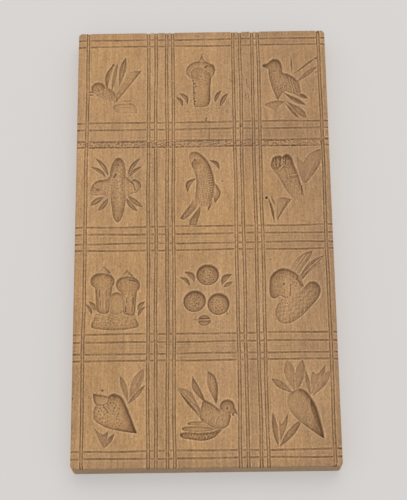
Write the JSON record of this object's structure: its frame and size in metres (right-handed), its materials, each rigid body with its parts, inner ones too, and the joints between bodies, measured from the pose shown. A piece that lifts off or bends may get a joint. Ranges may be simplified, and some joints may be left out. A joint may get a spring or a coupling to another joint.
{
  "type": "carved butter mold board",
  "caption": "Flat rectangular wooden mold board, its face ruled into cells that each hold a hollowed picture of a plant or an animal.",
  "frame": {"origin": "middle of the flat back face, on the surface that the board lies on", "axes": "+X across the three columns, +Y along the four rows towards the top of the pictures, +Z out of the carved face"},
  "size_m": [0.12, 0.215, 0.011],
  "materials": {
    "carved_wood": "dry unvarnished hardwood, worn smooth on the ridges"
  },
  "bodies": {
    "root": {"mold_board": "carved_wood"}
  },
  "joints": []
}
